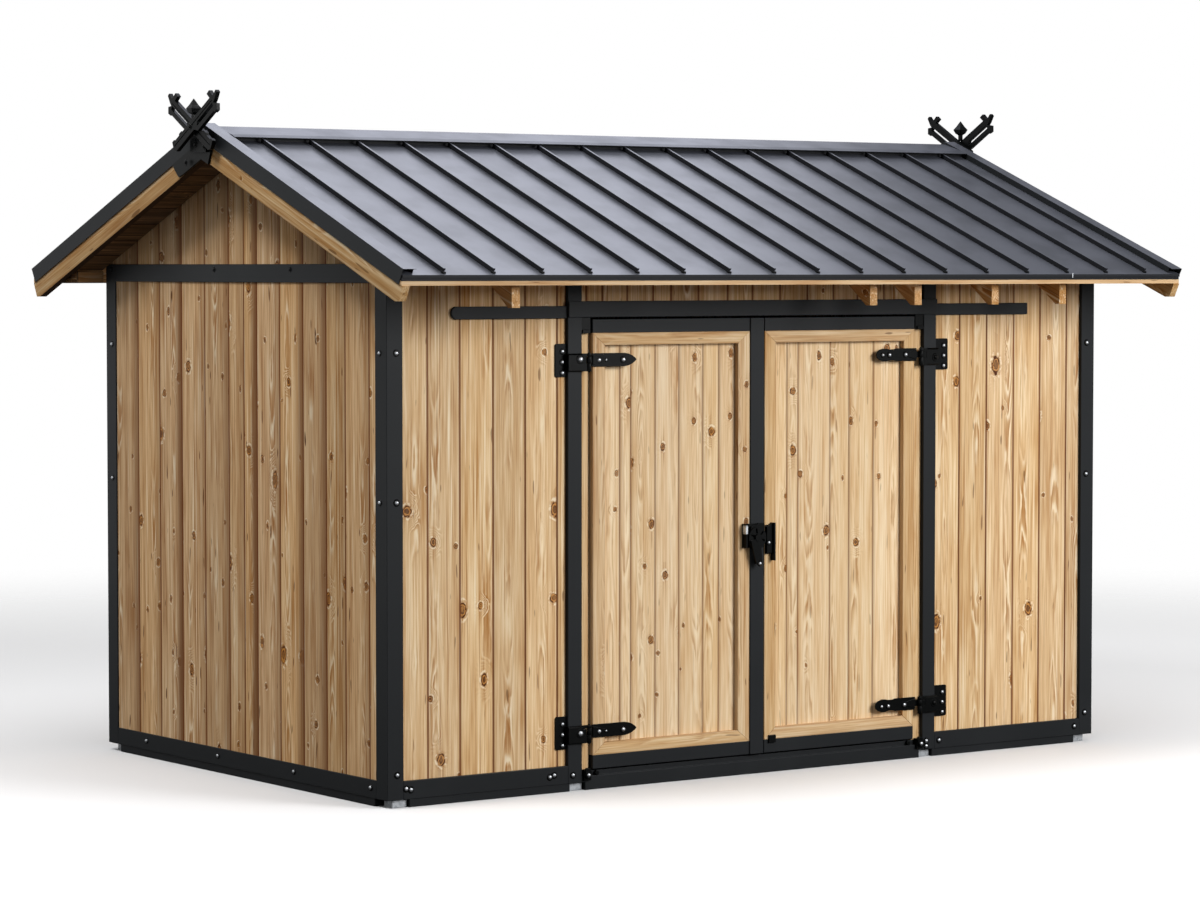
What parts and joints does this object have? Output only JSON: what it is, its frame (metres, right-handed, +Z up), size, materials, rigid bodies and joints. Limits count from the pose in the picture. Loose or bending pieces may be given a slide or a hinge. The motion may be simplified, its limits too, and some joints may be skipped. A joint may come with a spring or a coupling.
{
  "type": "garden shed",
  "caption": "Gable-roofed garden shed in vertical timber boards on a black steel frame, with a standing-seam roof, crossed ridge finials and a pair of hinged doors.",
  "frame": {"origin": "middle of the footprint on the ground", "axes": "+X along the front to the right seen from the doors, +Y from the door side to the back, +Z up"},
  "size_m": [4.1516, 3.028, 2.8142],
  "materials": {
    "frame_steel": "black powder coat, satin",
    "roof_steel": "dark coil-coated sheet, semi-gloss",
    "timber": "planed pine, bare and knotty",
    "galvanised": "hot-dip galvanised, matte"
  },
  "bodies": {
    "shed": {"feet": "galvanised", "base_frame": "frame_steel", "floor_deck": "timber", "front_sills": "frame_steel", "side_sills": "frame_steel", "back_sills": "frame_steel", "door_threshold": "frame_steel", "corner_posts": "frame_steel", "door_posts": "frame_steel", "back_posts": "frame_steel", "tie_beams": "frame_steel", "door_header": "frame_steel", "header_bars": "frame_steel", "door_jambs": "timber", "front_wall_left": "timber", "front_wall_right": "timber", "front_wall_over_door": "timber", "left_gable_wall": "timber", "right_gable_wall": "timber", "back_wall": "timber", "wall_plates": "timber", "ridge_beam": "timber", "rafters": "timber", "roof_boards_front": "timber", "roof_boards_back": "timber", "roof_battens": "timber", "roof_sheet_front": "roof_steel", "roof_sheet_back": "roof_steel", "ridge_cap": "roof_steel", "eave_trims": "roof_steel", "verge_trims": "roof_steel", "barge_boards": "timber", "apex_plates": "frame_steel", "finial_arms": "frame_steel", "finial_spikes": "frame_steel", "hinge_brackets": "frame_steel", "pivot_blocks": "frame_steel"},
    "left_leaf": {"left_leaf_rails": "frame_steel", "left_leaf_frame": "timber", "left_leaf_boards": "timber", "left_leaf_straps": "frame_steel", "door_latch": "frame_steel"},
    "right_leaf": {"right_leaf_rails": "frame_steel", "right_leaf_frame": "timber", "right_leaf_boards": "timber", "right_leaf_straps": "frame_steel", "latch_keeper": "frame_steel"}
  },
  "joints": [
    {"name": "left_door_hinge", "type": "hinge", "parent": "shed", "child": "left_leaf", "pos_m": [-0.9, -1.147, 0.984], "axis": [0, 0, -1], "range_deg": [0, 110]},
    {"name": "right_door_hinge", "type": "hinge", "parent": "shed", "child": "right_leaf", "pos_m": [0.839, -1.147, 0.984], "axis": [0, 0, 1], "range_deg": [0, 110]}
  ]
}
